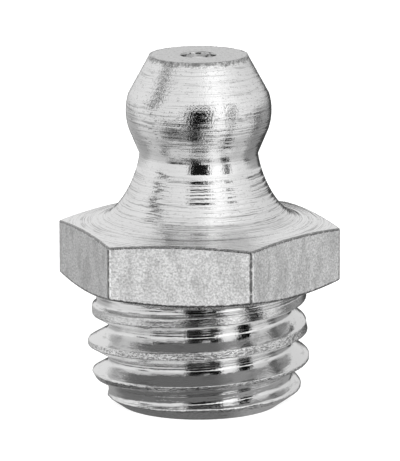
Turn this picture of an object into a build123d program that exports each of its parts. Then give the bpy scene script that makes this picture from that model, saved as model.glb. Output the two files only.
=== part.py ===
from build123d import *
from math import asin, ceil, cos, radians, sin, sqrt, tan
import os

os.makedirs("parts", exist_ok=True)

# A straight grease nipple, in millimetres, with +Z out of its inlet.
# The body is one piece, turned from hexagon bar: a coupler head, a waist that flares down to
# the hexagon, and a rolled thread under it. A coil spring in its bore holds a check ball up
# to the seat under the inlet, and the lip rolled in at the outlet keeps the spring.
# The origin is on the axis, in the plane of the seat, the flat ring under the hexagon.
# Heights are measured up from that plane, and depths down from it.

# Hexagon
hex_across_flats = 11.0
hex_height = 2.58               # at its corners
hex_edge_round = 0.12
hex_top_radius = 35.0           # of the slightly domed top
hex_under_radius = 24.0         # of the domed chamfer that lifts the corners off the seat
seat_edge_inset = 0.07          # from the middle of a flat in to the seat
dome_overrun = 0.6              # how far both domes are turned past the corners
hex_turn = 21.3                 # degrees from -Y to the first corner, towards +X

# Coupler head
inlet_face_diameter = 4.36
inlet_face_height = 10.27
cone_foot_diameter = 6.27
cone_foot_height = 8.52
head_diameter = 6.48
head_widest_height = 7.8
head_back_diameter = 6.2
head_back_height = 6.95

# Waist, and the flare that runs out into the top of the hexagon
waist_diameter = 5.28
waist_height = 5.86
waist_lean = 5.0                # degrees from the axis
waist_pull = 0.98               # how far the flare keeps the waist's direction
flare_foot_diameter = 9.3
flare_foot_pull = 1.14          # how far it keeps the direction of the hexagon's top

# Plain band and rolled thread, M10 x 1.5, right-handed
thread_diameter = 10.0
thread_pitch = 1.5
thread_length = 5.5
first_crest_depth = 0.84        # where the first crest passes -Y
blank_diameter = 9.2            # plain band under the hexagon
blank_band_length = 0.82
band_corner_bevel = 0.28        # in the corner under the hexagon
washout_length = 0.3            # over which the band slopes in to the root
short_crest_diameter = 9.58     # the first crests, which rolling left short
short_crest_end_depth = 1.9
full_crest_depth = 2.9
lead_diameter = 9.1             # the last crest, which has waned to the end chamfer
lead_depth = 4.8
end_face_diameter = 7.14

# Bore, from the inlet down
inlet_diameter = 1.6
inlet_length = 0.35
seat_cone_angle = 90.0          # between its two sides
bore_diameter = 3.1
lip_diameter = 2.2
lip_thickness = 0.35
lip_cone_length = 0.25          # how far the rolled metal slopes back up the bore

# Check ball and spring
ball_diameter = 2.5
ball_seat_gap = 0.02
wire_diameter = 0.25
wire_sides = 6                  # the round wire is drawn with this many flats
active_coils = 8
spring_bore_gap = 0.2
spring_end_gap = 0.02           # to the ball and to the lip
closed_coil_gap = 0.02          # between an end coil and its neighbour

# ISO metric thread form
half_flank_angle = radians(30)
crest_flat = thread_pitch / 8
root_flat = thread_pitch / 6
root_diameter = thread_diameter - (thread_pitch - crest_flat - root_flat) / tan(half_flank_angle)
groove_margin = thread_pitch / 20   # how far the groove is cut outside the crests

# Where the ball rests
half_seat_angle = radians(seat_cone_angle / 2)
seat_top_height = inlet_face_height - inlet_length
seat_apex_height = seat_top_height + inlet_diameter / 2 / tan(half_seat_angle)
ball_height = seat_apex_height - (ball_diameter / 2 + ball_seat_gap) / sin(half_seat_angle)
lip_depth = thread_length - lip_thickness


def on_profile(diameter, height):
    """Point of a turned outline in the XZ plane."""
    return Vector(diameter / 2, 0, height)


def turned(*outline):
    """Solid of revolution about Z of a closed outline in the XZ plane."""
    return revolve(make_face(list(outline)), Axis.Z)


def turned_points(*points):
    """Solid of revolution of straight runs through (diameter, height) points."""
    return turned(Polyline(*[on_profile(*point) for point in points], close=True))


# Hexagon and coupler head --------------------------------------------------------------

hex_corner_diameter = hex_across_flats / cos(radians(30))
seat_face_diameter = hex_across_flats - 2 * seat_edge_inset
dome_diameter = hex_corner_diameter + 2 * dome_overrun


def dome_rise(radius, diameter):
    """Height of a dome over its centre of curvature, where it is so far across."""
    return sqrt(radius**2 - diameter**2 / 4)


def hex_top_point(diameter):
    """Point of the dome that tops the hexagon and meets its corners at the hexagon's height."""
    drop = dome_rise(hex_top_radius, hex_corner_diameter) - dome_rise(hex_top_radius, diameter)
    return on_profile(diameter, hex_height - drop)


def hex_under_point(diameter):
    """Point of the dome that chamfers the underside, from the seat's edge out to the corners."""
    lift = dome_rise(hex_under_radius, seat_face_diameter) - dome_rise(hex_under_radius, diameter)
    return on_profile(diameter, lift)


def turned_head():
    """Head, waist, flare and both faces of the hexagon, before its flats are cut."""
    face_edge = on_profile(inlet_face_diameter, inlet_face_height)
    cone_foot = on_profile(cone_foot_diameter, cone_foot_height)
    widest = on_profile(head_diameter, head_widest_height)
    head_back = on_profile(head_back_diameter, head_back_height)
    waist = on_profile(waist_diameter, waist_height)
    flare_foot = hex_top_point(flare_foot_diameter)
    top_middle = hex_top_point((flare_foot_diameter + dome_diameter) / 2)
    top_edge = hex_top_point(dome_diameter)
    under_edge = hex_under_point(dome_diameter)
    under_middle = hex_under_point((seat_face_diameter + dome_diameter) / 2)
    seat_edge = hex_under_point(seat_face_diameter)
    lean, slope = radians(waist_lean), asin(flare_foot_diameter / 2 / hex_top_radius)
    flare = Bezier(
        waist,
        waist + Vector(sin(lean), 0, -cos(lean)) * waist_pull,
        flare_foot + Vector(-cos(slope), 0, sin(slope)) * flare_foot_pull,
        flare_foot,
    )
    face_centre = on_profile(0, inlet_face_height)
    return turned(
        Polyline(face_centre, face_edge, cone_foot),
        ThreePointArc(cone_foot, widest, head_back),
        Line(head_back, waist),
        flare,
        ThreePointArc(flare_foot, top_middle, top_edge),
        Line(top_edge, under_edge),
        ThreePointArc(under_edge, under_middle, seat_edge),
        Polyline(seat_edge, Vector(), face_centre),
    )


def hexagon_bar():
    section = RegularPolygon(hex_corner_diameter / 2, 6, rotation=hex_turn - 90)
    section = fillet(section.vertices(), hex_edge_round)
    return extrude(section, inlet_face_height)


# Thread --------------------------------------------------------------------------------


def crest_envelope():
    """The shank as it would be with no groove."""
    return turned_points(
        (0, 0),
        (short_crest_diameter, 0),
        (short_crest_diameter, -short_crest_end_depth),
        (thread_diameter, -full_crest_depth),
        (lead_diameter, -lead_depth),
        (end_face_diameter, -thread_length),
        (0, -thread_length),
    )


def groove_turn():
    """One turn of the thread groove, a V with a flat root, from +X at the height of the origin."""
    slope = tan(half_flank_angle)
    root = root_diameter / 2
    mouth = thread_diameter / 2 + groove_margin
    mouth_half_width = root_flat / 2 + (mouth - root) * slope
    section = make_face(Polyline(
        (root, 0, root_flat / 2),
        (root, 0, -root_flat / 2),
        (mouth, 0, -mouth_half_width),
        (mouth, 0, mouth_half_width),
        close=True,
    ))
    return sweep(section, path=Helix(thread_pitch, thread_pitch, root), is_frenet=True)


def plain_band():
    """Unthreaded band, bevelled out into the hexagon above and sloped in past the root below."""
    washout_drop = blank_diameter - root_diameter
    return turned_points(
        (0, 0),
        (blank_diameter + 2 * band_corner_bevel, 0),
        (blank_diameter, -band_corner_bevel),
        (blank_diameter, -blank_band_length),
        (0, -blank_band_length - washout_length * blank_diameter / washout_drop),
    )


def threaded_shank():
    """Crests and grooves, with the plain band and its washout left standing."""
    turn = groove_turn()
    groove_at_minus_y = -first_crest_depth - thread_pitch / 2
    groove_at_plus_x = groove_at_minus_y + thread_pitch / 4
    turns_below = ceil((thread_length + groove_at_plus_x) / thread_pitch) + 1
    turns_above = ceil(-groove_at_plus_x / thread_pitch)
    shank = crest_envelope()
    for count in range(-turns_below, turns_above + 1):
        shank -= Pos(0, 0, groove_at_plus_x + count * thread_pitch) * turn
    return shank + plain_band()


# The three pieces ----------------------------------------------------------------------


def flow_passage():
    """Inlet, ball seat, spring bore and the outlet inside the rolled lip."""
    seat_foot = seat_apex_height - bore_diameter / 2 / tan(half_seat_angle)
    return turned_points(
        (0, 2 * inlet_face_height),
        (inlet_diameter, 2 * inlet_face_height),
        (inlet_diameter, seat_top_height),
        (bore_diameter, seat_foot),
        (bore_diameter, -lip_depth + lip_cone_length),
        (lip_diameter, -lip_depth),
        (lip_diameter, -2 * thread_length),
        (0, -2 * thread_length),
    )


def nipple_body():
    return (turned_head() & hexagon_bar()) + threaded_shank() - flow_passage()


def check_ball():
    return Pos(0, 0, ball_height) * Sphere(ball_diameter / 2)


def check_spring():
    """Compression spring with a closed coil at each end, from the lip up to the ball."""
    coil_radius = bore_diameter / 2 - spring_bore_gap - wire_diameter / 2
    ball_to_wire = ball_diameter / 2 + spring_end_gap + wire_diameter / 2
    top = ball_height - sqrt(ball_to_wire**2 - coil_radius**2)
    lip_slope = 2 * lip_cone_length / (bore_diameter - lip_diameter)
    lip_under_wire = -lip_depth + (coil_radius - lip_diameter / 2) * lip_slope
    bottom = lip_under_wire + (wire_diameter / 2 + spring_end_gap) * sqrt(1 + lip_slope**2)
    closed_pitch = wire_diameter + closed_coil_gap
    active_length = top - bottom - 2 * closed_pitch
    path = [
        Helix(closed_pitch, closed_pitch, coil_radius, center=(0, 0, bottom)),
        Helix(active_length / active_coils, active_length, coil_radius,
              center=(0, 0, bottom + closed_pitch)),
        Helix(closed_pitch, closed_pitch, coil_radius, center=(0, 0, top - closed_pitch)),
    ]
    path = Wire([coil.edge() for coil in path])
    wire_section = RegularPolygon(wire_diameter / 2, wire_sides)
    return sweep(Plane(path @ 0, z_dir=path % 0) * wire_section, path=path)


pieces = {
    "nipple_body": nipple_body(),
    "check_ball": check_ball(),
    "check_spring": check_spring(),
}
for name, piece in pieces.items():
    export_step(piece, f"parts/{name}.step")
    print(name, f"{piece.volume:.2f} mm3", "valid" if piece.is_valid else "NOT VALID")
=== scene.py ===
from math import asin, atan, atan2, cos, pi, radians, sin, sqrt, tan

import bpy
import numpy as np
from mathutils import Matrix, Vector


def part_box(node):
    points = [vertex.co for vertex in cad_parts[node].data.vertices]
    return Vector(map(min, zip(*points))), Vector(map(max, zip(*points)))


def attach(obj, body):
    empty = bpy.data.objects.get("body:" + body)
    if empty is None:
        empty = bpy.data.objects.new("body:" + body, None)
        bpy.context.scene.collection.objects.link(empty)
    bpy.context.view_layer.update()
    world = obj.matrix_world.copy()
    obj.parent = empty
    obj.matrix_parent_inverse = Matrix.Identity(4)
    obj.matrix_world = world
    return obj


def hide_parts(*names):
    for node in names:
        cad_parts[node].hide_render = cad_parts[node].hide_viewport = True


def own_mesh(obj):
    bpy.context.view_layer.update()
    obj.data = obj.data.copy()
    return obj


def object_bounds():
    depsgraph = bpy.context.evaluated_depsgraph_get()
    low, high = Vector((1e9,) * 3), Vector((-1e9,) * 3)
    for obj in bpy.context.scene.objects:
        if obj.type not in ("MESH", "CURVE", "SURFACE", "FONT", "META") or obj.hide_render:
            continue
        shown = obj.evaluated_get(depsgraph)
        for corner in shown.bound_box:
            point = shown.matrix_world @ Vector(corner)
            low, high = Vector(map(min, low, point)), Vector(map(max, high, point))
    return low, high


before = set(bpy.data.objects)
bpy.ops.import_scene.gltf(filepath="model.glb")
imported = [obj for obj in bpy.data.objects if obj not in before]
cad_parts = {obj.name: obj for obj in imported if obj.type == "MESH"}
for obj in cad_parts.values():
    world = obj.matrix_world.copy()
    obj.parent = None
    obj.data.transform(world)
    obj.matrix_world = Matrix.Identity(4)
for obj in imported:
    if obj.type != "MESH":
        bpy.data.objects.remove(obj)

# A grease nipple in bright zinc plate. The body is one skin, which follows the CAD body and adds
# what the real surface has: a burr round the head's rim, rounded edges over and under the
# hexagon's flats, and rough crests on the thread. The ball and the spring fill their CAD boxes.
# Lengths are in millimetres until a mesh is made.

cad_box = [list(corner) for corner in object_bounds()]
MM = 0.001

# Hexagon
HEX_ACROSS_FLATS = 11.0
HEX_HEIGHT = 2.58               # where the flats would meet in sharp corners
HEX_EDGE_ROUND = 0.16           # of the upright edges between the flats
HEX_TOP_RADIUS = 35.0           # of the slightly domed top
HEX_UNDER_RADIUS = 24.0         # of the dome that lifts the corners off the seat
HEX_TURN = 21.3                 # degrees from -Y to the first corner, towards +X
SEAT_EDGE = 5.43                # radius of the flat seat
TOP_EDGE_ROUND = 0.06           # of the edge over each flat
BOTTOM_EDGE_ROUND = 0.07        # of the edge under it
EDGE_TURNS = (0, 22, 45, 68, 90)    # degrees through an edge's rounding at which it has a row
EDGE_FADE = 0.05                # over which an edge's dark line, partly wear and partly painted shade, fades out
CORNERS = 6
FIRST_CORNER = radians(HEX_TURN - 90)
BACK_FLAT = radians(HEX_TURN - 90 + 150)    # its middle, where the skin has its seam
CORNER_STEPS = 4                # on each side of a corner's middle
CORNER_MARGIN = radians(0.3)    # from a corner's rounding to the first step on the flat
FLAT_STEPS = 56

# Degrees past a corner's middle, and the value of wear and painted light there: one is a dark line
# of painted shade on the left half of the rounding, and minus one is a thin painted highlight at its
# right end
CORNER_MARKS = [(-1.04, 0), (-0.74, 1), (0.0, 1), (0.3, 0), (0.5, -1), (0.9, -1), (1.1, 0)]

# Head and waist, as (diameter, height over the seat)
INLET_FACE = (4.36, 10.27)
CONE_FOOT = (6.27, 8.52)
HEAD_WIDEST = (6.48, 7.8)
HEAD_BACK = (6.2, 6.95)
WAIST = (5.28, 5.86)
WAIST_LEAN = 5.0                # degrees from upright at which the flare starts
WAIST_PULL = 0.98               # how far it keeps that direction
FLARE_FOOT_DIAMETER = 9.3
FLARE_FOOT_PULL = 1.14          # how far it keeps the direction of the hexagon's top

# Burr round the rim of the face
FACE_EDGE = 0.16                # from the rim in to where the face is still flat
# Each row of it: the finish; how far it is outside the rim, and what the wave, the grain and the
# burr add to that; how far it is over the face, and what the burr adds to that; its value of wear
# and painted light, whose dark line at the rim is partly the burr and partly painted shade
BURR_ROWS = [
    ("face", -0.06, (0.03, 0.0, 0.0), 0.0, 0.006, 0.4),
    ("rim", -0.015, (0.0, 0.012, 0.0), 0.0, 0.02, 0.7),
    ("rim", 0.012, (0.0, 0.0, 0.02), -0.008, 0.014, 0.7),
    ("rim", 0.03, (0.0, 0.012, 0.0), -0.05, -0.02, 0.6),
]
RIM_WEAR_AND_SHADE = [(0.13, 0.5), (0.26, 0.0)]   # (below the rim, value of wear and painted light) of the cone's first rows: a dark line, partly burr and partly painted shade
CONE_START = 0.4                # below the rim
WAVE_CELLS, WAVE_SEED = 9, 11
GRAIN_CELLS, GRAIN_SEED = 30, 12
WAVE_IN_BURR, GRAIN_IN_BURR = 0.5, 0.35

# Thread
PITCH = 1.5
THREAD_RADIUS = 5.0
THREAD_END = -5.5
FIRST_CREST = -0.838            # height of the first crest where it passes -Y
HALF_FLANK = radians(30)
CREST_FLAT = PITCH / 8
CREST_ROUND = 0.02
ROOT_ROUND = PITCH / 2 / tan(HALF_FLANK) / 6
BAND_RADIUS = 4.6
BAND_BEVEL = 0.28
BAND_FOOT = -0.82
WASHOUT = 0.3                   # from the band's foot down to the root
CREST_ENVELOPE = [              # (height, radius) of the crests before the groove
    (0.0, 4.79), (-1.9, 4.79), (-2.7, 4.99), (-3.9, 4.87), (-4.4, 4.58), (-4.8, 4.54),
    (-5.05, 4.21), (-5.5, 3.57),
]
LAST_GROOVE_WIDER = 0.17        # how far its upper flank is shifted up
LAST_GROOVE_FROM = (-3.92, -4.1)    # heights of its middle between which it widens
# Heights of the rows from a crest's middle
CREST_ROWS = [0.0, 0.03, 0.06, 0.085, 0.11, 0.14, 0.18, 0.23]
FLANK_ROWS = [0.3, 0.38, 0.46, 0.53, 0.59, 0.65, 0.7]

# Roughness of the crests
CREST_MARGIN = 0.05             # over which they turn rough at the top of a flank
BAND_MARGIN = 0.02              # over which they turn rough as they rise out of the band
END_CHAMFER = -5.1
CHAMFER_FADE = 0.1              # the height over the chamfer at which they start to turn smooth
CHAMFER_ROUGH = 0.3             # how rough they stay from the chamfer down
FIRST_CREST_ROUGH = 0.35        # how rough the first crest is
ROUGH_FROM = (-1.4, -1.0)       # heights between which they turn from fully rough to that
ROUGH_RISE = 0.008
ROUGH_CELLS = [(0.22, 0.09, 1.0, 21), (0.1, 0.05, 0.6, 22)]     # width, height, share, seed

# Bore
INLET_RADIUS = 0.8
INLET_BREAK = 0.03
INLET_FOOT = 9.92
SEAT_FOOT = 9.17
BORE_RADIUS = 1.55
LIP_RADIUS = 1.1
LIP_TOP = -5.15
LIP_CONE_TOP = -4.9
LIP_BREAK = 0.03
END_MARGIN = 0.05               # from the thread's end in to the end face's first row

HELIX_START = 50.0              # of the lathe length, to keep the thread's marks off the head's
WELD = 1e-5                     # points that round to the same multiples of this are made one
NOISE_VALUES = 4096
NOISE_STEPS = (73856093, 19349663, 83492791)    # large primes, which scatter the noise's cells


# Small tools ------------------------------------------------------------------------------

def smooth_noise(x, y, z, seed):
    """Value noise from -1 to 1 with cells of size 1, for arrays of coordinates."""
    table = np.random.default_rng(seed).uniform(-1, 1, NOISE_VALUES)
    cell = [np.floor(c).astype(np.int64) for c in (x, y, z)]
    part = [c - f for c, f in zip((x, y, z), cell)]
    ease = [p * p * (3 - 2 * p) for p in part]
    total = 0
    for corner in np.ndindex(2, 2, 2):
        key = 0
        weight = 1
        for place, step, prime, e in zip(cell, corner, NOISE_STEPS, ease):
            key = key ^ (place + step) * prime
            weight = weight * (e if step else 1 - e)
        total = total + weight * table[key & (NOISE_VALUES - 1)]
    return total


def soft_min(a, b, width):
    """The smaller of two arrays, rounded over where they cross."""
    gap = np.clip(0.5 + 0.5 * (b - a) / width, 0, 1)
    return b + (a - b) * gap - width * gap * (1 - gap)


def between(start, end, share):
    """What is the given share of the way from the start to the end."""
    return start + (end - start) * share


def half(point):
    """The (radius, height) of a (diameter, height) point."""
    return point[0] / 2, point[1]


def arc_points(start, middle, end, steps):
    """Points of the circle through three (radius, height) points, without the last."""
    ax, ay = start
    bx, by = middle
    cx, cy = end
    d = 2 * (ax * (by - cy) + bx * (cy - ay) + cx * (ay - by))
    a, b, c = ax**2 + ay**2, bx**2 + by**2, cx**2 + cy**2
    ux = (a * (by - cy) + b * (cy - ay) + c * (ay - by)) / d
    uy = (a * (cx - bx) + b * (ax - cx) + c * (bx - ax)) / d
    size = sqrt((ax - ux) ** 2 + (ay - uy) ** 2)
    first, last = atan2(ay - uy, ax - ux), atan2(cy - uy, cx - ux)
    turns = [between(first, last, k / steps) for k in range(steps)]
    return [(ux + size * cos(t), uy + size * sin(t)) for t in turns]


def bezier_points(p0, p1, p2, p3, steps):
    """Points of a cubic curve through (radius, height) points, without the last."""
    made = []
    for k in range(steps):
        t = k / steps
        weights = ((1 - t) ** 3, 3 * t * (1 - t) ** 2, 3 * t * t * (1 - t), t**3)
        made.append(tuple(sum(w * p[i] for w, p in zip(weights, (p0, p1, p2, p3))) for i in (0, 1)))
    return made


# The hexagon's plan -----------------------------------------------------------------------

def past_corner(angle):
    """How far each angle is past the nearest corner, which is less than nought before it."""
    return (angle - FIRST_CORNER + pi / 6) % (pi / 3) - pi / 6


def hex_angles():
    """Angles round the axis from the middle of the back flat, closer together at the corners."""
    corner_centre = (HEX_ACROSS_FLATS / 2 - HEX_EDGE_ROUND) / cos(pi / 6)
    tilts = np.linspace(-pi / 6, pi / 6, 2 * CORNER_STEPS + 1)
    corner = np.arctan2(HEX_EDGE_ROUND * np.sin(tilts), corner_centre + HEX_EDGE_ROUND * np.cos(tilts))
    beside = corner[-1] + CORNER_MARGIN
    flat = np.linspace(beside, pi / 3 - beside, FLAT_STEPS + 1)
    one_side = np.concatenate([corner, flat])
    angles = np.concatenate([FIRST_CORNER + k * pi / 3 + one_side for k in range(CORNERS)])
    angles = np.sort((angles - BACK_FLAT) % (2 * pi) + BACK_FLAT)
    return np.append(angles, angles[0] + 2 * pi)


def hex_radius(angle):
    """Distance from the axis to the rounded hexagon, in each direction."""
    apothem = HEX_ACROSS_FLATS / 2
    off_corner = past_corner(angle)
    flat = apothem / np.cos(pi / 6 - np.abs(off_corner))
    centre = (apothem - HEX_EDGE_ROUND) / cos(pi / 6)
    inside = np.maximum(HEX_EDGE_ROUND**2 - (centre * np.sin(off_corner)) ** 2, 0)
    corner = centre * np.cos(off_corner) + np.sqrt(inside)
    tangent_angle = pi / 6 - atan((apothem - HEX_EDGE_ROUND) * tan(pi / 6) / apothem)
    return np.where(np.abs(off_corner) < tangent_angle, corner, flat)


def corner_marks(angle):
    """The value of wear and painted light at each angle, for the painted shade and highlight lines
    that run down the corners.
    """
    places, values = zip(*CORNER_MARKS)
    return np.interp(np.degrees(past_corner(angle)), places, values)


def dome_height(radius):
    """Height of the domed top, which meets the sharp corners at the hexagon's height."""
    corner = HEX_ACROSS_FLATS / 2 / cos(pi / 6)
    return HEX_HEIGHT + np.sqrt(HEX_TOP_RADIUS**2 - radius**2) - sqrt(HEX_TOP_RADIUS**2 - corner**2)


def under_height(radius):
    """Height of the underside: flat to the seat's edge, then domed up to the corners."""
    lift = sqrt(HEX_UNDER_RADIUS**2 - SEAT_EDGE**2) - np.sqrt(HEX_UNDER_RADIUS**2 - radius**2)
    return np.maximum(lift, 0)


# The body's rows --------------------------------------------------------------------------
# The skin is a grid: each row goes once round the axis, and the rows follow the outline from
# the ball seat, out through the inlet, down the outside and back up the bore.

class Skin:
    """Rows of (radius, height) round the axis, with the finish of the strip under each row.

    Each row also has a value of wear and painted light, which each finish shows in its own way: one is
    a dark line on an edge or at the rim, partly wear and burr and partly painted shade, and rough
    metal on a crest. Minus one is a thin painted highlight on a flat.
    """

    def __init__(self, angles):
        self.angles = angles
        self.rows = []
        self.finishes = []

    def add(self, radius, height, finish, worn=0.0):
        ones = np.ones_like(self.angles)
        self.rows.append((radius * ones, height * ones, worn * ones))
        self.finishes.append(finish)

    def line(self, start, end, finish, steps, ends=False):
        """Rows from one (radius, height) to another. The last is left to the next line."""
        for k in range(steps + (1 if ends else 0)):
            share = k / steps
            self.add(between(start[0], end[0], share), between(start[1], end[1], share), finish)


def add_inlet(skin):
    top = INLET_FACE[1]
    skin.line((INLET_RADIUS, INLET_FOOT), (INLET_RADIUS, top - INLET_BREAK), "bore", steps=3)
    skin.line((INLET_RADIUS, top - INLET_BREAK), (INLET_RADIUS + INLET_BREAK, top), "bore", steps=2)


def add_face(skin):
    """The flat face, and the burr that the facing tool left round its rim."""
    rim, top = half(INLET_FACE)
    skin.line((INLET_RADIUS + INLET_BREAK, top), (rim - FACE_EDGE, top), "face", steps=8)
    x, y = np.cos(skin.angles), np.sin(skin.angles)
    wave = smooth_noise(x * WAVE_CELLS, y * WAVE_CELLS, 0 * x, WAVE_SEED)
    grain = smooth_noise(x * GRAIN_CELLS, y * GRAIN_CELLS, 0 * x, GRAIN_SEED)
    burr = np.clip(0.5 + WAVE_IN_BURR * wave + GRAIN_IN_BURR * grain, 0, 1)
    skin.add(rim - FACE_EDGE, top, "face")
    for finish, out, (by_wave, by_grain, by_burr), up, up_by_burr, worn in BURR_ROWS:
        radius = rim + out + by_wave * wave + by_grain * grain + by_burr * burr
        skin.add(radius, top + up + up_by_burr * burr, finish, worn)


def add_head(skin):
    """The cone, the rounded head and the cone back to the waist."""
    rim, foot = half(INLET_FACE), half(CONE_FOOT)
    slope = (foot[0] - rim[0]) / (rim[1] - foot[1])
    for below_rim, worn in RIM_WEAR_AND_SHADE:
        skin.add(rim[0] + below_rim * slope, rim[1] - below_rim, "turned", worn)
    start = (rim[0] + CONE_START * slope, rim[1] - CONE_START)
    skin.line(start, foot, "turned", steps=5)
    for radius, height in arc_points(foot, half(HEAD_WIDEST), half(HEAD_BACK), steps=18):
        skin.add(radius, height, "turned")
    skin.line(half(HEAD_BACK), half(WAIST), "turned", steps=4)


def add_flare(skin):
    """The curve from the waist out to the hexagon's dome, which it meets smoothly."""
    lean, foot_radius = radians(WAIST_LEAN), FLARE_FOOT_DIAMETER / 2
    slope = asin(foot_radius / HEX_TOP_RADIUS)
    waist, foot = half(WAIST), (foot_radius, float(dome_height(foot_radius)))
    below_waist = (waist[0] + sin(lean) * WAIST_PULL, waist[1] - cos(lean) * WAIST_PULL)
    before_foot = (foot[0] - cos(slope) * FLARE_FOOT_PULL, foot[1] + sin(slope) * FLARE_FOOT_PULL)
    for radius, height in bezier_points(waist, below_waist, before_foot, foot, steps=26):
        skin.add(radius, height, "turned")


def add_hexagon(skin):
    reach = hex_radius(skin.angles)
    flare_foot = FLARE_FOOT_DIAMETER / 2
    dome_edge = reach - TOP_EDGE_ROUND
    dome_steps = 8
    for k in range(dome_steps + 1):
        radius = between(flare_foot, dome_edge - EDGE_FADE, k / dome_steps)
        skin.add(radius, dome_height(radius), "turned")
    edge_height = dome_height(dome_edge)
    # The rounded edges over the flats carry a dark line, partly wear and partly painted shade
    for turn in EDGE_TURNS:
        radius = dome_edge + TOP_EDGE_ROUND * sin(radians(turn))
        skin.add(radius, edge_height - TOP_EDGE_ROUND * (1 - cos(radians(turn))), "edge", worn=1.0)
    flat_top = edge_height - TOP_EDGE_ROUND - EDGE_FADE
    flat_foot = under_height(reach) + BOTTOM_EDGE_ROUND
    flat_steps = 4
    # Down the corners the flats get a line of painted shade and a thin painted highlight
    for k in range(flat_steps + 1):
        height = between(flat_top, flat_foot + EDGE_FADE, k / flat_steps)
        skin.add(reach, height, "flat", corner_marks(skin.angles))
    # The rounded edges under the flats carry the same dark line, partly wear and partly painted shade
    for turn in EDGE_TURNS[::-1]:
        radius = reach - BOTTOM_EDGE_ROUND * (1 - sin(radians(turn)))
        skin.add(radius, flat_foot - BOTTOM_EDGE_ROUND * cos(radians(turn)), "edge", worn=1.0)
    under_edge = reach - BOTTOM_EDGE_ROUND - EDGE_FADE
    under_steps = 3
    for k in range(under_steps):
        radius = between(under_edge, SEAT_EDGE, k / under_steps)
        skin.add(radius, under_height(radius), "turned")


def add_seat(skin):
    """The flat ring under the hexagon, and the bevel from it to the thread's plain band."""
    inner = BAND_RADIUS + BAND_BEVEL
    skin.line((SEAT_EDGE, 0), (inner, 0), "turned", steps=3)
    skin.line((inner, 0), (BAND_RADIUS, -BAND_BEVEL), "turned", steps=2)


def crest_height(angle):
    """Height of the first crest's middle at each angle, on a right-handed helix."""
    return FIRST_CREST + PITCH * (angle + pi / 2) / (2 * pi)


def thread_radius(angle, height):
    """Outside of the shank, and how much of each place is on a rough crest."""
    heights, radii = zip(*CREST_ENVELOPE[::-1])
    crests = np.interp(height, heights, radii)
    off_crest = (height - crest_height(angle)) / PITCH
    off_root = (off_crest - np.floor(off_crest) - 0.5) * PITCH
    wider = np.interp(height - off_root, LAST_GROOVE_FROM[::-1], (LAST_GROOVE_WIDER / 2, 0.0))
    from_root = np.maximum(np.abs(off_root - wider) - wider, 0)
    slope = tan(HALF_FLANK)
    apex = THREAD_RADIUS - (PITCH - CREST_FLAT) / 2 / slope
    root = apex + ROOT_ROUND
    bottom = root + ROOT_ROUND - np.sqrt(np.maximum(ROOT_ROUND**2 - from_root**2, 0))
    groove = np.where(from_root < ROOT_ROUND * cos(HALF_FLANK), bottom, apex + from_root / slope)
    washed_out = np.maximum(BAND_FOOT - height, 0) * (BAND_RADIUS - root) / WASHOUT
    band = BAND_RADIUS - washed_out
    ridge = soft_min(crests, groove, CREST_ROUND)
    on_crest = np.clip((groove - crests) / CREST_MARGIN + 0.5, 0, 1)
    rough = on_crest * np.clip((ridge - band) / BAND_MARGIN, 0, 1)
    rough = rough * np.clip((height - END_CHAMFER) / CHAMFER_FADE, CHAMFER_ROUGH, 1)
    rough = rough * np.interp(height, ROUGH_FROM, (1.0, FIRST_CREST_ROUGH))
    x, y = np.cos(angle) * crests, np.sin(angle) * crests
    grain = 0
    for width, tall, share, seed in ROUGH_CELLS:
        grain = grain + share * smooth_noise(x / width, y / width, height / tall, seed)
    return np.maximum(ridge + ROUGH_RISE * grain * rough, band), rough


def add_thread(skin):
    """Rows that follow the helix, closest together over the crest."""
    top, end = -BAND_BEVEL, THREAD_END
    one_side = np.array(CREST_ROWS + FLANK_ROWS + [PITCH / 2])
    phases = np.sort(np.concatenate([one_side, PITCH - one_side[1:-1]]))
    middles = crest_height(skin.angles)
    # There are spare turns at both ends, whose rows are wholly above or below and are left out
    first = np.ceil((top - middles.min()) / PITCH) + 1
    count = int((top - end) / PITCH) + 4
    skin.add(BAND_RADIUS, top, "thread")
    for turn in range(count):
        for phase in phases:
            height = np.clip(middles + (first - turn) * PITCH - phase, end, top)
            if height.min() >= top or height.max() <= end:
                continue
            radius, rough = thread_radius(skin.angles, height)
            skin.add(radius, height, "thread", rough)
    radius, rough = thread_radius(skin.angles, np.full_like(skin.angles, end))
    skin.add(radius, end, "end", rough)


def add_end_and_bore(skin):
    """The end face, and the bore from the rolled lip up to the ball's seat."""
    end_radius = CREST_ENVELOPE[-1][1]
    lip_edge = (LIP_RADIUS + LIP_BREAK, THREAD_END)
    lip_foot = (LIP_RADIUS, THREAD_END + LIP_BREAK)
    skin.line((end_radius - END_MARGIN, THREAD_END), lip_edge, "end", steps=6)
    skin.line(lip_edge, lip_foot, "end", steps=1)
    skin.line(lip_foot, (LIP_RADIUS, LIP_TOP), "bore", steps=2)
    skin.line((LIP_RADIUS, LIP_TOP), (BORE_RADIUS, LIP_CONE_TOP), "bore", steps=2)
    skin.line((BORE_RADIUS, LIP_CONE_TOP), (BORE_RADIUS, SEAT_FOOT), "bore", steps=2)
    skin.line((BORE_RADIUS, SEAT_FOOT), (INLET_RADIUS, INLET_FOOT), "bore", steps=2, ends=True)


def body_skin():
    skin = Skin(hex_angles())
    add_inlet(skin)
    add_face(skin)
    add_head(skin)
    add_flare(skin)
    add_hexagon(skin)
    add_seat(skin)
    add_thread(skin)
    add_end_and_bore(skin)
    return skin


# Meshes -----------------------------------------------------------------------------------

def lathe_lengths(skin, radius, height):
    """A length that changes along the outline, so that noise in it makes rings.

    On the thread it follows the helix.
    """
    step = np.hypot(np.diff(radius, axis=0), np.diff(height, axis=0))
    along = np.vstack([np.zeros_like(skin.angles), np.cumsum(step, axis=0)])
    past_flats = np.cumsum([name == "flat" for name in skin.finishes])[:, None] > 0
    along = np.where(past_flats, height - radius, along)
    threaded = np.array([name == "thread" for name in skin.finishes])[:, None]
    return np.where(threaded, HELIX_START + height - crest_height(skin.angles), along)


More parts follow.
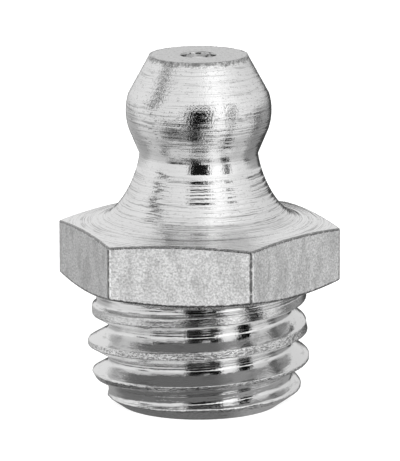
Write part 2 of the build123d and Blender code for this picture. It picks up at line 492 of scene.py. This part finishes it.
def skin_arrays(skin):
    """Points in millimetres, quads, a finish for each quad, lathe coordinates and worn values.

    The lathe coordinates are the direction from the axis and the lathe length.
    """
    radius, height, worn = (np.array(part) for part in zip(*skin.rows))
    x, y = np.cos(skin.angles), np.sin(skin.angles)
    points = np.stack([radius * x, radius * y, height], axis=-1)
    along = lathe_lengths(skin, radius, height)
    lathe = np.stack([x + 0 * radius, y + 0 * radius, along], axis=-1)
    rows, columns = radius.shape
    first = np.arange(rows - 1)[:, None] * columns + np.arange(columns - 1)[None, :]
    quads = np.stack([first, first + columns, first + columns + 1, first + 1], axis=-1)
    finish = np.repeat(np.array(skin.finishes[:-1]), columns - 1)
    return points.reshape(-1, 3), quads.reshape(-1, 4), finish, lathe.reshape(-1, 3), worn.reshape(-1)


def welded(points, quads, finish, lathe, worn):
    """The same skin with points that coincide made one, and quads with no area dropped.

    The lathe coordinates are given for each corner of each face, because they jump at the seam.
    """
    keys = np.round(points / WELD).astype(np.int64)
    _, first, index = np.unique(keys, axis=0, return_index=True, return_inverse=True)
    index = index.reshape(-1)
    faces, kept, sources = [], [], []
    for quad, source, name in zip(index[quads].tolist(), quads.tolist(), finish):
        used = [k for k in range(4) if quad[k] != quad[k - 1]]
        corners = [quad[k] for k in used]
        if len(corners) >= 3 and len(set(corners)) == len(corners):
            faces.append(corners)
            kept.append(name)
            sources += [source[k] for k in used]
    return points[first], faces, kept, lathe[sources], worn[first]


def mesh_piece(name, points, faces, materials):
    """A smooth-shaded object from points in millimetres."""
    mesh = bpy.data.meshes.new(name)
    mesh.from_pydata((np.asarray(points) * MM).tolist(), [], [list(map(int, f)) for f in faces])
    for material in materials:
        mesh.materials.append(material)
    mesh.polygons.foreach_set("use_smooth", [True] * len(mesh.polygons))
    mesh.update()
    mesh.validate()
    piece = bpy.data.objects.new(name, mesh)
    bpy.context.scene.collection.objects.link(piece)
    return piece


# Materials --------------------------------------------------------------------------------

class Nodes:
    """Shorthand for building a node tree. Its methods take and return numbers or sockets."""

    def __init__(self, tree):
        self.tree = tree
        tree.nodes.clear()

    def add(self, kind, inputs=None, **settings):
        node = self.tree.nodes.new(kind)
        for key, value in settings.items():
            setattr(node, key, value)
        for key, value in (inputs or {}).items():
            self.set(node.inputs[key], value)
        return node

    def set(self, socket, value):
        if isinstance(value, bpy.types.NodeSocket):
            self.tree.links.new(value, socket)
        else:
            socket.default_value = value

    def math(self, operation, a, b=0.0):
        return self.add("ShaderNodeMath", {0: a, 1: b}, operation=operation).outputs[0]

    def times(self, a, b):
        return self.math("MULTIPLY", a, b)

    def plus(self, a, b):
        return self.math("ADD", a, b)

    def map(self, value, low, high, to_low=0.0, to_high=1.0, smooth=True):
        """The value, stretched so that low to high becomes to_low to to_high, and held there."""
        kind = "SMOOTHSTEP" if smooth else "LINEAR"
        node = self.add("ShaderNodeMapRange", interpolation_type=kind, clamp=True)
        for key, item in enumerate((value, low, high, to_low, to_high)):
            self.set(node.inputs[key], item)
        return node.outputs[0]

    def inside(self, value, low, high, soft):
        """One between two limits and nought outside them, with soft edges."""
        rise = self.map(value, low - soft, low + soft)
        fall = self.map(value, high - soft, high + soft, 1.0, 0.0)
        return self.times(rise, fall)

    def faded(self, value, share, to):
        """A value multiplied by `to` where the share is one, and left where it is nought."""
        return self.times(value, self.map(share, 0, 1, 1.0, to, smooth=False))

    def noise(self, vector, scale, detail, rough):
        settings = {"Vector": vector, "Scale": scale, "Detail": detail, "Roughness": rough}
        return self.add("ShaderNodeTexNoise", settings).outputs[0]

    def scaled(self, vector, by):
        return self.add("ShaderNodeVectorMath", {0: vector, 1: by}, operation="MULTIPLY").outputs[0]

    def parts(self, vector):
        return self.add("ShaderNodeSeparateXYZ", {0: vector}).outputs

    def attribute(self, name, output):
        return self.add("ShaderNodeAttribute", attribute_name=name).outputs[output]

    def place(self):
        """The place on the object, in millimetres."""
        place = self.add("ShaderNodeTexCoord").outputs["Object"]
        return self.scaled(place, (1 / MM, 1 / MM, 1 / MM))

    def height(self):
        return self.parts(self.place())[2]

    def worn(self):
        return self.attribute("worn", "Fac")

    def lathe_noise(self, around, along, scale, detail, rough):
        """Noise in the lathe coordinates: the smaller `around` is, the longer the streaks are."""
        lathe = self.attribute("lathe", "Vector")
        return self.noise(self.scaled(lathe, (around, around, along)), scale, detail, rough)

    def bump(self, height, depth, normal=None):
        """A normal bent by a height from nought to one, which is as deep as said in millimetres."""
        inputs = {"Height": height, "Distance": depth * MM, "Strength": 1.0}
        if normal is not None:
            inputs["Normal"] = normal
        return self.add("ShaderNodeBump", inputs).outputs[0]

    def turned_degrees(self, x, y):
        """Degrees round the axis, to the right of the camera's side."""
        return self.times(self.math("ARCTAN2", x, self.times(y, -1.0)), 180 / pi)

    def metal(self, shade, rough, normal, metallic=1.0):
        """The tree's metal, with a shade of grey for its colour."""
        colour = self.add("ShaderNodeCombineColor", {0: shade, 1: shade, 2: shade}).outputs[0]
        inputs = {"Metallic": metallic, "Base Color": colour, "Roughness": rough, "Normal": normal}
        shader = self.add("ShaderNodeBsdfPrincipled", inputs)
        self.tree.links.new(shader.outputs[0], self.add("ShaderNodeOutputMaterial").inputs[0])

    def with_wear_and_shade_line(self, shade, left_over):
        """A shade that is darker along edges, in a ragged line that is partly wear and burr and partly
        painted shade.
        """
        ragged = self.noise(self.place(), scale=6.5, detail=3.0, rough=0.7)
        ragged = self.math("SUBTRACT", ragged, 0.44)
        share = self.map(self.plus(self.worn(), self.times(ragged, 3.5)), 0.3, 1.1)
        near_edge = self.map(self.worn(), 0.0, 0.25)
        return self.faded(shade, self.times(share, near_edge), left_over)


def new_material(name):
    material = bpy.data.materials.new(name)
    material.use_nodes = True
    return material, Nodes(material.node_tree)


# Tool marks on the turned surfaces: the heights between which they change, and their strengths
HEAD_MARKS = (6.5, 8.35)        # they are full on the rounded head
FOOT_MARKS = (5.38, 5.15)       # they grow to full on the way down the flare
CONE_MARKS = (8.35, 8.6)        # they change from the plain strength to the cone's on the way up
FLARE_RINGS = (4.2, 5.25)       # the deep rings are twice as deep here
FLARE_FAINT = (4.1, 5.9)        # the dark lines are faint here
GRAIN_GROWS = (6.3, 8.6)
SPECKS_GROW = (5.0, 7.0)
PLAIN_STRENGTH = 0.45
CONE_STRENGTH = 0.6


def mark_strength(nodes, height):
    """How strong the tool marks are: one on the rounded head, and from low on the flare down."""
    full = nodes.plus(nodes.inside(height, *HEAD_MARKS, soft=0.2), nodes.map(height, *FOOT_MARKS))
    least = nodes.map(height, *CONE_MARKS, PLAIN_STRENGTH, CONE_STRENGTH)
    return nodes.map(full, 0, 1, least, 1.0, smooth=False)


def turned_zinc():
    """Zinc over a turned surface: tool mark rings with painted shade in their grooves, scored lines,
    specks, grain.
    """
    material, nodes = new_material("turned_zinc")
    height = nodes.height()
    marked = mark_strength(nodes, height)
    fine = nodes.lathe_noise(around=0.06, along=1.0, scale=13.0, detail=3.0, rough=0.65)
    deep = nodes.lathe_noise(around=0.05, along=1.0, scale=5.0, detail=2.0, rough=0.5)
    grain = nodes.lathe_noise(around=5.0, along=1.5, scale=7.0, detail=2.0, rough=0.6)

    ring_depth = nodes.map(marked, PLAIN_STRENGTH, 1, 0.15, 1.0, smooth=False)
    ring_depth = nodes.times(ring_depth, nodes.plus(1.0, nodes.inside(height, *FLARE_RINGS, soft=0.1)))
    grain_depth = nodes.map(height, *GRAIN_GROWS, 0.7, 1.5)
    normal = nodes.bump(nodes.times(fine, marked), depth=0.009)
    normal = nodes.bump(nodes.times(deep, ring_depth), depth=0.055, normal=normal)
    normal = nodes.bump(nodes.times(grain, grain_depth), depth=0.009, normal=normal)

    drawn = nodes.faded(marked, nodes.inside(height, *FLARE_FAINT, soft=0.3), to=0.45)
    # Painted shade in the grooves of the fine rings
    groove_shade = nodes.map(fine, 0.45, 0.30)
    shade = nodes.faded(0.86, nodes.times(groove_shade, drawn), to=0.6)
    scored = nodes.map(nodes.math("ABSOLUTE", nodes.math("SUBTRACT", deep, 0.5)), 0.03, 0.0)
    gaps = nodes.lathe_noise(around=1.0, along=0.5, scale=5.0, detail=2.0, rough=0.5)
    broken = nodes.map(gaps, 0.4, 0.6, 0.2, 1.0)
    shade = nodes.faded(shade, nodes.times(nodes.times(scored, drawn), broken), to=0.5)
    specks = nodes.lathe_noise(around=3.0, along=2.0, scale=6.0, detail=3.0, rough=0.65)
    specks = nodes.map(specks, 0.58, 0.66)
    specks = nodes.times(specks, nodes.map(height, *SPECKS_GROW, 0.4, 1.0))
    shade = nodes.faded(shade, nodes.times(specks, marked), to=0.45)
    # The dark line below the rim, partly burr and partly painted shade
    shade = nodes.with_wear_and_shade_line(shade, left_over=0.4)
    nodes.metal(shade, nodes.map(grain, 0.3, 0.75, 0.06, 0.13), normal)
    return material


def face_zinc():
    """Zinc over the faced top, finely grained, with a dark, ragged rim, partly burr and partly painted
    shade.
    """
    material, nodes = new_material("face_zinc")
    fine = nodes.lathe_noise(around=0.5, along=1.0, scale=14.0, detail=3.0, rough=0.6)
    grain = nodes.noise(nodes.place(), scale=8.0, detail=3.0, rough=0.65)
    normal = nodes.bump(fine, depth=0.006)
    normal = nodes.bump(grain, depth=0.014, normal=normal)
    shade = nodes.faded(0.70, nodes.map(grain, 0.5, 0.3), to=0.6)
    shade = nodes.with_wear_and_shade_line(shade, left_over=0.45)
    nodes.metal(shade, nodes.map(fine, 0.3, 0.7, 0.28, 0.40), normal)
    return material


def flat_zinc():
    """Zinc over the tumbled flats: a fine mottle, pits, and down the corners a line of painted shade
    and a thin painted highlight.
    """
    material, nodes = new_material("flat_zinc")
    place = nodes.place()
    mottle = nodes.noise(place, scale=11.5, detail=4.0, rough=0.7)
    broad = nodes.noise(nodes.scaled(place, (1.0, 1.0, 0.35)), scale=1.8, detail=2.0, rough=0.5)
    pits = nodes.map(nodes.noise(place, scale=12.0, detail=2.0, rough=0.5), 0.60, 0.70)
    shade = nodes.map(mottle, 0.35, 0.65, 0.46, 0.82)
    shade = nodes.faded(shade, nodes.map(broad, 0.6, 0.3), to=0.8)
    shade = nodes.faded(shade, pits, to=0.75)
    # Painted shade in a line down the left half of each corner
    shade = nodes.with_wear_and_shade_line(shade, left_over=0.2)
    # Painted highlight: a thin, broken bright line beside each corner
    broken = nodes.map(nodes.noise(place, scale=5.0, detail=2.0, rough=0.6), 0.38, 0.5)
    painted_highlight = nodes.times(nodes.map(nodes.worn(), -0.2, -1.0), broken)
    shade = nodes.math("MAXIMUM", shade, painted_highlight)
    rough = nodes.map(mottle, 0.3, 0.7, 0.48, 0.58)
    nodes.metal(shade, rough, nodes.bump(mottle, depth=0.014), metallic=0.4)
    return material


def edge_zinc():
    """Zinc over the hexagon's rounded edges, rubbed smooth, with a dark line along them, partly wear
    and partly painted shade.
    """
    material, nodes = new_material("edge_zinc")
    grain = nodes.noise(nodes.place(), scale=9.0, detail=3.0, rough=0.6)
    shade = nodes.with_wear_and_shade_line(nodes.map(grain, 0.3, 0.7, 0.7, 0.95), left_over=0.35)
    nodes.metal(shade, nodes.map(grain, 0.3, 0.7, 0.2, 0.32), nodes.bump(grain, depth=0.01))
    return material


BAND_RINGS = (-1.2, -0.8)       # heights between which the band's rings grow


def rolled_zinc():
    """Zinc over the rolled thread: burnished flanks and root, rough crests and a ringed band."""
    material, nodes = new_material("rolled_zinc")
    crest = nodes.worn()
    banded = nodes.map(nodes.height(), *BAND_RINGS)
    streak = nodes.lathe_noise(around=0.6, along=1.0, scale=9.0, detail=2.0, rough=0.5)
    grain = nodes.noise(nodes.place(), scale=9.0, detail=3.0, rough=0.6)
    laps = nodes.lathe_noise(around=1.6, along=1.0, scale=18.0, detail=3.0, rough=0.75)
    rings = nodes.lathe_noise(around=0.2, along=1.0, scale=8.0, detail=3.0, rough=0.6)
    normal = nodes.bump(streak, depth=0.010)
    normal = nodes.bump(grain, depth=0.006, normal=normal)
    normal = nodes.bump(nodes.times(laps, crest), depth=0.024, normal=normal)
    normal = nodes.bump(nodes.times(rings, banded), depth=0.011, normal=normal)
    shade = nodes.faded(0.84, nodes.map(streak, 0.45, 0.25), to=0.75)
    shade = nodes.faded(shade, nodes.times(nodes.map(laps, 0.52, 0.44), crest), to=0.45)
    shade = nodes.faded(shade, nodes.times(nodes.map(rings, 0.42, 0.34), banded), to=0.6)
    nodes.metal(shade, nodes.map(crest, 0, 1, 0.07, 0.16, smooth=False), normal)
    return material


def shaded_bore_zinc():
    """Zinc in the bore, darker than outside as painted shade for the inside of the bore, over fine
    drill marks.
    """
    material, nodes = new_material("shaded_bore_zinc")
    fine = nodes.lathe_noise(around=0.4, along=1.0, scale=20.0, detail=2.0, rough=0.5)
    # Painted shade: the bore's colour is kept dark
    shade = nodes.map(fine, 0.3, 0.7, 0.45, 0.65)
    nodes.metal(shade, nodes.map(fine, 0.3, 0.7, 0.05, 0.12), nodes.bump(fine, depth=0.002))
    return material


def polished_steel():
    """Bearing steel, with faint smears and scratches."""
    material, nodes = new_material("polished_steel")
    place = nodes.place()
    smear = nodes.noise(place, scale=3.0, detail=2.0, rough=0.5)
    scratch = nodes.noise(nodes.scaled(place, (1.0, 8.0, 1.0)), scale=6.0, detail=2.0, rough=0.5)
    shade = nodes.map(smear, 0.3, 0.7, 0.72, 0.8)
    nodes.metal(shade, nodes.map(smear, 0.3, 0.7, 0.04, 0.1), nodes.bump(scratch, depth=0.0006))
    return material


def spring_steel():
    """Drawn wire, uneven and half dull."""
    material, nodes = new_material("spring_steel")
    drawn = nodes.noise(nodes.place(), scale=12.0, detail=3.0, rough=0.6)
    shade = nodes.map(drawn, 0.3, 0.7, 0.42, 0.6)
    nodes.metal(shade, nodes.map(drawn, 0.3, 0.7, 0.25, 0.4), nodes.bump(drawn, depth=0.004))
    return material


# The pieces -------------------------------------------------------------------------------

def make_body():
    turned, face = turned_zinc(), face_zinc()
    materials = {
        "turned": turned, "face": face, "rim": face, "edge": edge_zinc(), "flat": flat_zinc(),
        "thread": rolled_zinc(), "end": turned, "bore": shaded_bore_zinc(),
    }
    points, faces, finish, lathe, worn = welded(*skin_arrays(body_skin()))
    piece = mesh_piece("plated_body", points, faces, materials.values())
    slots = {name: slot for slot, name in enumerate(materials)}
    piece.data.polygons.foreach_set("material_index", [slots[name] for name in finish])
    attributes = piece.data.attributes
    attributes.new("lathe", "FLOAT_VECTOR", "CORNER").data.foreach_set("vector", lathe.ravel())
    attributes.new("worn", "FLOAT", "POINT").data.foreach_set("value", worn)
    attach(piece, "body")
    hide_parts("nipple_body")


BALL_RINGS, BALL_COLUMNS = 48, 96


def make_ball():
    low, high = (np.array(corner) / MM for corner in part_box("check_ball"))
    centre, size = (low + high) / 2, (high - low).max() / 2
    points = [centre + (0, 0, size)]
    for i in range(1, BALL_RINGS):
        tilt = pi * i / BALL_RINGS
        for j in range(BALL_COLUMNS):
            turn = 2 * pi * j / BALL_COLUMNS
            way = np.array([sin(tilt) * cos(turn), sin(tilt) * sin(turn), cos(tilt)])
            points.append(centre + size * way)
    points.append(centre - (0, 0, size))
    last = len(points) - 1
    last_ring = last - BALL_COLUMNS
    sides = [(j, (j + 1) % BALL_COLUMNS) for j in range(BALL_COLUMNS)]
    faces = [(0, 1 + j, 1 + beside) for j, beside in sides]
    for ring in range(1, last_ring, BALL_COLUMNS):
        below = ring + BALL_COLUMNS
        faces += [(ring + j, below + j, below + beside, ring + beside) for j, beside in sides]
    faces += [(last_ring + j, last, last_ring + beside) for j, beside in sides]
    piece = mesh_piece("polished_ball", points, faces, [polished_steel()])
    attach(piece, "ball")
    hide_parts("check_ball")


WIRE_RADIUS = 0.125
WIRE_SIDES = 14
COIL_STEPS = 40
ACTIVE_COILS = 8
CLOSED_PITCH = 0.27             # of the one closed coil at each end


def make_spring():
    low, high = (np.array(corner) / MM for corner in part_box("check_spring"))
    coil = (high - low)[0] / 2 - WIRE_RADIUS
    bottom, top = low[2] + WIRE_RADIUS, high[2] - WIRE_RADIUS
    active = top - bottom - 2 * CLOSED_PITCH
    rises = [0, CLOSED_PITCH, CLOSED_PITCH + active, 2 * CLOSED_PITCH + active]
    coils = ACTIVE_COILS + 2
    turns = np.linspace(0, coils, coils * COIL_STEPS + 1)
    heights = bottom + np.interp(turns, [0, 1, coils - 1, coils], rises)
    points, faces = [], []
    for turn, height in zip(turns, heights):
        out = np.array([cos(2 * pi * turn), sin(2 * pi * turn), 0])
        for k in range(WIRE_SIDES):
            a = 2 * pi * k / WIRE_SIDES
            points.append(out * (coil + WIRE_RADIUS * cos(a)) + (0, 0, height + WIRE_RADIUS * sin(a)))
    for ring in range(0, len(points) - WIRE_SIDES, WIRE_SIDES):
        for k in range(WIRE_SIDES):
            a, b = ring + k, ring + (k + 1) % WIRE_SIDES
            faces.append((a, a + WIRE_SIDES, b + WIRE_SIDES, b))
    faces.append(tuple(range(WIRE_SIDES)))
    faces.append(tuple(range(len(points) - 1, len(points) - 1 - WIRE_SIDES, -1)))
    piece = mesh_piece("spring_wire", points, faces, [spring_steel()])
    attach(piece, "body")
    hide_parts("check_spring")
    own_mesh(piece)


# Camera -----------------------------------------------------------------------------------

PHOTO_WIDTH, PHOTO_HEIGHT = 400, 461
CAMERA_PLACE = Vector((0.0, -230.209, 51.352)) * MM
CAMERA_TARGET = Vector((0.0453, 0.0, 2.3013)) * MM
CAMERA_LENS = 475.08 * PHOTO_WIDTH / PHOTO_HEIGHT    # millimetres, on the long side
CAMERA_ROLL = radians(0.169)    # top of the picture to the right


def make_camera():
    camera = bpy.data.objects.new("camera", bpy.data.cameras.new("camera"))
    camera.data.lens = CAMERA_LENS
    camera.data.clip_start = 0.01
    camera.data.clip_end = 10
    back = (CAMERA_PLACE - CAMERA_TARGET).normalized()
    right = Vector((0, 0, 1)).cross(back).normalized()
    up = back.cross(right)
    rolled_up = up * cos(CAMERA_ROLL) + right * sin(CAMERA_ROLL)
    rolled_right = right * cos(CAMERA_ROLL) - up * sin(CAMERA_ROLL)
    facing = Matrix((rolled_right, rolled_up, back)).transposed().to_4x4()
    camera.matrix_world = Matrix.Translation(CAMERA_PLACE) @ facing
    bpy.context.scene.collection.objects.link(camera)
    bpy.context.scene.camera = camera


# Floor and cards --------------------------------------------------------------------------

FLOOR_HEIGHT = cad_box[0][2]    # metres
FLOOR_RADIUS = 3000.0
DISC_SIDES = 96
PAPER_COLOUR = (0.5, 0.5, 0.5, 1)
PAPER_GLOW = 0.8
# The grey card is painted shade: it stands for the shaded floor round the foot, as the thread reflects
# it
GREY_CARD_RADIUS = 10.5
GREY_CARD_LIFT = 0.01           # over the floor
GREY_CARD_LIGHT = 0.34
GREY_CARD_DARKER = (-85, 26)    # degrees to the right of the camera's side, where it has half that
GREY_CARD_SOFT = 12.0           # degrees over which that changes
WHITE = (1, 1, 1, 1)
BLACK = (0.004, 0.004, 0.004, 1)

# Upright black cards beside the thread: (from, to) in degrees to the right of the camera's
# side, and (from, to) in height
THREAD_CARDS = [((12.0, 24.5), (-9.0, -2.8)), ((44.5, 60.5), (-9.0, -0.3))]
THREAD_CARD_PLACE = 14.0        # from the axis
THREAD_CARD_STEPS = 6


def stage_sheet(name, points, faces, shader_of):
    """A sheet that isn't part of the object, from points in metres."""
    mesh = bpy.data.meshes.new(name)
    mesh.from_pydata(points, [], faces)
    sheet = bpy.data.objects.new(name, mesh)
    bpy.context.scene.collection.objects.link(sheet)
    material, nodes = new_material(name)
    nodes.tree.links.new(shader_of(nodes), nodes.add("ShaderNodeOutputMaterial").inputs[0])
    mesh.materials.append(material)
    return sheet


def stage_disc(name, radius, height, shader_of):
    """A level disc, from a radius and a height in metres."""
    around = [2 * pi * k / DISC_SIDES for k in range(DISC_SIDES)]
    points = [(radius * cos(turn), radius * sin(turn), height) for turn in around]
    return stage_sheet(name, points, [list(range(DISC_SIDES))], shader_of)


def only_reflected(sheet):
    """Makes a card show in the metal and nowhere else."""
    sheet.visible_camera = False
    sheet.visible_diffuse = False
    sheet.visible_shadow = False
    sheet.visible_transmission = False


def make_floor():
    """White paper, lit from below as well, so that the object's shadow on it stays faint.

    It is clear from below, so that the object's underside can be looked at.
    """
    def paper(nodes):
        matt = nodes.add("ShaderNodeBsdfDiffuse", {"Color": PAPER_COLOUR}).outputs[0]
        glow = nodes.add("ShaderNodeEmission", {"Color": WHITE, "Strength": PAPER_GLOW}).outputs[0]
        white = nodes.add("ShaderNodeAddShader", {0: matt, 1: glow}).outputs[0]
        clear = nodes.add("ShaderNodeBsdfTransparent").outputs[0]
        below = nodes.add("ShaderNodeNewGeometry").outputs["Backfacing"]
        return nodes.add("ShaderNodeMixShader", {0: below, 1: white, 2: clear}).outputs[0]

    floor = stage_disc("floor", FLOOR_RADIUS * MM, FLOOR_HEIGHT, paper)
    floor.visible_glossy = False
    floor.visible_diffuse = False


def make_floor_shade_card():
    """A grey card under the thread, darker from its left side round to the front: painted shade, which
    the thread reflects in place of the floor in the object's shadow.
    """
    def grey(nodes):
        x, y, _ = nodes.parts(nodes.place())
        share = nodes.inside(nodes.turned_degrees(x, y), *GREY_CARD_DARKER, GREY_CARD_SOFT)
        light = nodes.faded(GREY_CARD_LIGHT, share, to=0.5)
        return nodes.add("ShaderNodeEmission", {"Color": light, "Strength": 1.0}).outputs[0]

    height = FLOOR_HEIGHT + GREY_CARD_LIFT * MM
    only_reflected(stage_disc("floor_shade_card", GREY_CARD_RADIUS * MM, height, grey))


def make_thread_cards():
    def black(nodes):
        return nodes.add("ShaderNodeEmission", {"Color": BLACK, "Strength": 1.0}).outputs[0]

    reach = THREAD_CARD_PLACE * MM
    count = THREAD_CARD_STEPS + 1
    for number, (across, heights) in enumerate(THREAD_CARDS):
        turns = np.radians(np.linspace(*across, count))
        points = []
        for height in heights:
            points += [(reach * sin(turn), -reach * cos(turn), height * MM) for turn in turns]
        faces = [(k, k + 1, k + 1 + count, k + count) for k in range(THREAD_CARD_STEPS)]
        only_reflected(stage_sheet(f"thread_card_{number}", points, faces, black))


# Lights -----------------------------------------------------------------------------------

# Soft lamps that only matt surfaces show: the metal has the studio to reflect.
# (name, power, degrees to the right of the camera's side, and up from level)
LAMPS = [("key", 3.9, 1, 22), ("back_fill", 2.4, 190, 30)]
LAMP_ANGLE = radians(30)


def make_lamps():
    for name, power, azimuth, elevation in LAMPS:
        lamp = bpy.data.lights.new(name, "SUN")
        lamp.energy = power
        lamp.angle = LAMP_ANGLE
        light = bpy.data.objects.new(name, lamp)
        light.rotation_euler = (radians(90 - elevation), 0, radians(azimuth))
        light.visible_glossy = False
        bpy.context.scene.collection.objects.link(light)


# The studio as the metal sees it: how light each direction is round the object, in degrees to
# the right of the camera's side, and up from level.
ROUND_LIGHT = [
    (-180, 0.82), (-140, 0.80), (-100, 0.85), (-60, 0.80), (-28, 0.86), (0, 0.90), (18, 1.05),
    (30, 1.22), (42, 1.15), (60, 1.05), (78, 0.88), (120, 0.74), (160, 0.72), (180, 0.82),
]
RISE_LIGHT = [
    (-90, 0.35), (-60, 0.55), (-45, 0.64), (-30, 0.76), (-12, 0.92), (10, 1.0), (50, 1.0), (90, 0.85),
]

# Its dark cards: (from, to) round, (from, to) up, softness of the edges, and what light is left
CARDS = [
    # In front, from above the middle down
    ((-18, 20), (-17, 26), 1.0, 0.01),
    ((-18, 6), (-38, -17), 1.0, 0.02),
    ((-22, 12), (-64, -38), 2.0, 0.22),
    # Low on the left
    ((-64, -21), (-31, -14), 1.5, 0.1),
    ((-66, -4), (-90, -38), 3.0, 0.33),
    # On the right, a strip that is narrower at its foot
    ((49, 55), (-28, -7), 1.0, 0.25),
    ((49, 61), (-6, 25), 1.0, 0.12),
    # High on the left
    ((-89, -75), (12, 60), 1.5, 0.16),
    # Behind, on both sides and in the middle
    ((99, 114), (-24, -3), 3.0, 0.35),
    ((104, 156), (-42, 4), 9.0, 0.5),
    ((-166, -118), (-42, -4), 9.0, 0.65),
    ((148, 184), (-70, 3), 2.0, 0.12),
    ((-184, -168), (-70, -3), 2.0, 0.12),
    # Overhead, towards the back
    ((-184, -104), (64, 93), 3.0, 0.32),
    ((140, 184), (82, 93), 3.0, 0.4),
]
MATT_LIGHT = 0.28               # what matt surfaces get from all round


def light_ramp(nodes, value, low, high, stops):
    """A smooth curve through (place, brightness) stops, with brightness of up to 2."""
    ramp = nodes.add("ShaderNodeValToRGB", {0: nodes.map(value, low, high, smooth=False)})
    ramp.color_ramp.interpolation = "CARDINAL"
    elements = ramp.color_ramp.elements
    elements.remove(elements[1])
    for k, (place, light) in enumerate(stops):
        position = (place - low) / (high - low)
        stop = elements.new(position) if k else elements[0]
        stop.position = position
        stop.color = (light / 2, light / 2, light / 2, 1)
    value = nodes.add("ShaderNodeRGBToBW", {0: ramp.outputs[0]}).outputs[0]
    return nodes.times(value, 2.0)


def studio_light(nodes):
    """How light the studio is in the direction that the world is looked at."""
    x, y, z = nodes.parts(nodes.add("ShaderNodeTexCoord").outputs["Generated"])
    azimuth = nodes.turned_degrees(x, y)
    elevation = nodes.times(nodes.math("ARCSINE", z), 180 / pi)
    light = nodes.times(light_ramp(nodes, azimuth, -180, 180, ROUND_LIGHT),
                        light_ramp(nodes, elevation, -90, 90, RISE_LIGHT))
    for across, heights, soft, left_over in CARDS:
        share = nodes.times(nodes.inside(azimuth, *across, soft),
                            nodes.inside(elevation, *heights, soft))
        light = nodes.faded(light, share, left_over)
    return light


def make_world():
    """White for the camera, the studio for reflections, and an even light for matt surfaces."""
    world = bpy.data.worlds.new("studio")
    bpy.context.scene.world = world
    world.use_nodes = True
    nodes = Nodes(world.node_tree)

    def background(colour, strength):
        return nodes.add("ShaderNodeBackground", {"Color": colour, "Strength": strength}).outputs[0]

    def mixed(share, without, with_it):
        shaders = {0: share, 1: without, 2: with_it}
        return nodes.add("ShaderNodeMixShader", shaders).outputs[0]

    path = nodes.add("ShaderNodeLightPath").outputs
    studio = background(studio_light(nodes), 1.0)
    on_object = mixed(path["Is Glossy Ray"], background(WHITE, MATT_LIGHT), studio)
    seen = mixed(path["Is Camera Ray"], on_object, background(WHITE, 1.0))
    nodes.tree.links.new(seen, nodes.add("ShaderNodeOutputWorld").inputs[0])


make_camera()
make_world()
make_floor()
make_floor_shade_card()
make_thread_cards()
make_lamps()
make_body()
make_ball()
make_spring()
bpy.context.scene.view_settings.view_transform = "Standard"

bpy.context.view_layer.update()
